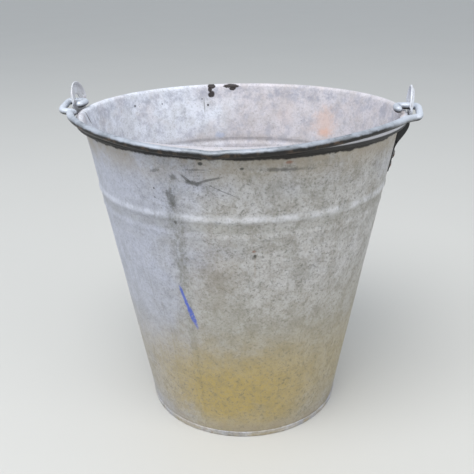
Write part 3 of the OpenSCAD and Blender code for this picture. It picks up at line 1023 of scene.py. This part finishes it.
def bail_corners():
    """Corners of the whole path, from the right eye to the left one."""
    right = half_corners(RIGHT_EAR_X, RIGHT_OUTER, RIGHT_INNER)
    left = half_corners(LEFT_EAR_X, LEFT_OUTER, LEFT_INNER)
    flip = Matrix.Scale(-1, 3, (1, 0, 0))
    middle = [(arch_point(0, ARCH_R + GRIP_OUT, GRIP_SAG), JOIN_BEND)]
    return right + middle + [(flip @ point, bend) for point, bend in reversed(left)]


def rod_path():
    """The rod's middle line, with its corners rounded."""
    corners = bail_corners()
    path = [corners[0][0]]
    for (a, _), (b, bend), (c, _) in zip(corners, corners[1:], corners[2:]):
        start = b + (a - b).normalized() * min(bend, (a - b).length / 2.1)
        end = b + (c - b).normalized() * min(bend, (c - b).length / 2.1)
        for t in steps(0, 1, 10):
            path.append(start.lerp(b, t).lerp(b.lerp(end, t), t))
    path.append(corners[-1][0])
    return resampled(path, 1.1 * MM)


def resampled(path, spacing):
    """The same line with points at an even spacing."""
    made, carry = [path[0]], 0.0
    for a, b in zip(path, path[1:]):
        length = (b - a).length
        while carry + spacing <= length:
            carry += spacing
            made.append(a.lerp(b, carry / length))
        carry -= length
    made.append(path[-1])
    return made


def bail():
    """Rod swept along its path, with slight wear and its last points drawn in as a cap."""
    path = rod_path()
    last = len(path) - 1
    points, faces = [], []
    side = (path[2] - path[0]).normalized().cross(Vector((0, 0, 1))).normalized()
    for i, centre in enumerate(path):
        ahead = (path[min(i + 2, last)] - path[max(i - 2, 0)]).normalized()
        side = (side - ahead * side.dot(ahead)).normalized()
        up = side.cross(ahead)
        end = min(i, last - i) / 2.2
        cap = math.sqrt(max(0.0, 1 - (1 - min(1, end)) ** 2)) * 0.55 + 0.45
        for k in range(ROD_SIDES):
            a = 2 * math.pi * k / ROD_SIDES
            spoke = math.cos(a) * side + math.sin(a) * up
            worn = abs(noise.noise(centre * 90 + spoke * 0.9))
            radius = ROD_R * cap * (1 - ROD_WEAR * worn)
            points.append(centre + radius * spoke)
    for i in range(last):
        for k in range(ROD_SIDES):
            a, b = i * ROD_SIDES + k, i * ROD_SIDES + (k + 1) % ROD_SIDES
            faces.append((a, b, b + ROD_SIDES, a + ROD_SIDES))
    faces.append(tuple(reversed(range(ROD_SIDES))))
    faces.append(tuple(last * ROD_SIDES + k for k in range(ROD_SIDES)))
    piece = mesh_object("bail_rod", points, faces, [WIRE], [0] * len(faces))
    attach(piece, "bail")
    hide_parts("bail")


wall()
base()
for word, side in (("left", -1), ("right", 1)):
    ear(f"{word}_ear_plate", f"{word}_ear", side)
    rivet(f"{word}_front_rivet", f"{word}_rivet_front", side, -RIVET_SIDE, RIVET_UPPER_Z)
    rivet(f"{word}_rear_rivet", f"{word}_rivet_rear", side, RIVET_SIDE, RIVET_UPPER_Z)
    rivet(f"{word}_lower_rivet", f"{word}_rivet_lower", side, 0, RIVET_LOWER_Z)
bail()
rim_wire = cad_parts["rim_wire"]
rim_wire.data.materials.clear()
rim_wire.data.materials.append(WIRE)


# ----------------------------------------------------- floor, light and camera

BUCKET_MIDDLE = Vector((0, 0, 0.15))


def studio():
    """Plain pale floor, even sky light and three soft lights that face the bucket."""
    grid = bmesh.new()
    bmesh.ops.create_grid(grid, x_segments=8, y_segments=8, size=20)
    mesh = bpy.data.meshes.new("studio_floor")
    grid.to_mesh(mesh)
    grid.free()
    mesh.materials.append(pale_floor())
    linked("studio_floor", mesh)

    world = bpy.data.worlds.new("soft_sky")
    world.use_nodes = True
    sky = world.node_tree.nodes["Background"]
    sky.inputs["Color"].default_value = (0.86, 0.92, 1, 1)
    sky.inputs["Strength"].default_value = 0.85
    bpy.context.scene.world = world

    def softbox(name, position, size, power, color):
        light = bpy.data.lights.new(name, "AREA")
        light.shape = "DISK"
        light.size = size
        light.energy = power
        light.color = color
        holder = linked(name, light)
        holder.location = position
        aim = BUCKET_MIDDLE - holder.location
        holder.rotation_euler = aim.to_track_quat("-Z", "Y").to_euler()

    softbox("overhead", (-0.3, -1.2, 2.2), 1.8, 47, (1, 0.99, 0.97))
    softbox("left_window", (-2.2, -1.2, 1.5), 1.6, 15, (0.9, 0.94, 1))
    softbox("right_fill", (2.2, -1.0, 1.2), 1.6, 16, (1, 0.98, 0.95))


def camera():
    """Camera of the photograph, as fitted to the rim, the ribs, the foot and the ears."""
    turn, pitch, roll = math.radians(8.65), math.radians(22.02), math.radians(-0.756)
    lens = bpy.data.cameras.new("camera")
    lens.sensor_width = 36
    lens.lens = 49.37
    lens.clip_start = 0.01
    holder = linked("camera", lens)
    around = Matrix.Rotation(turn, 4, "Z")
    place = around @ Matrix.Translation((-0.005313, -0.5807, 0.39687))
    aim = Matrix.Rotation(math.pi / 2 - pitch, 4, "X") @ Matrix.Rotation(roll, 4, "Z")
    holder.matrix_world = place @ aim
    bpy.context.scene.camera = holder


studio()
camera()
bpy.context.scene.view_settings.view_transform = "Standard"
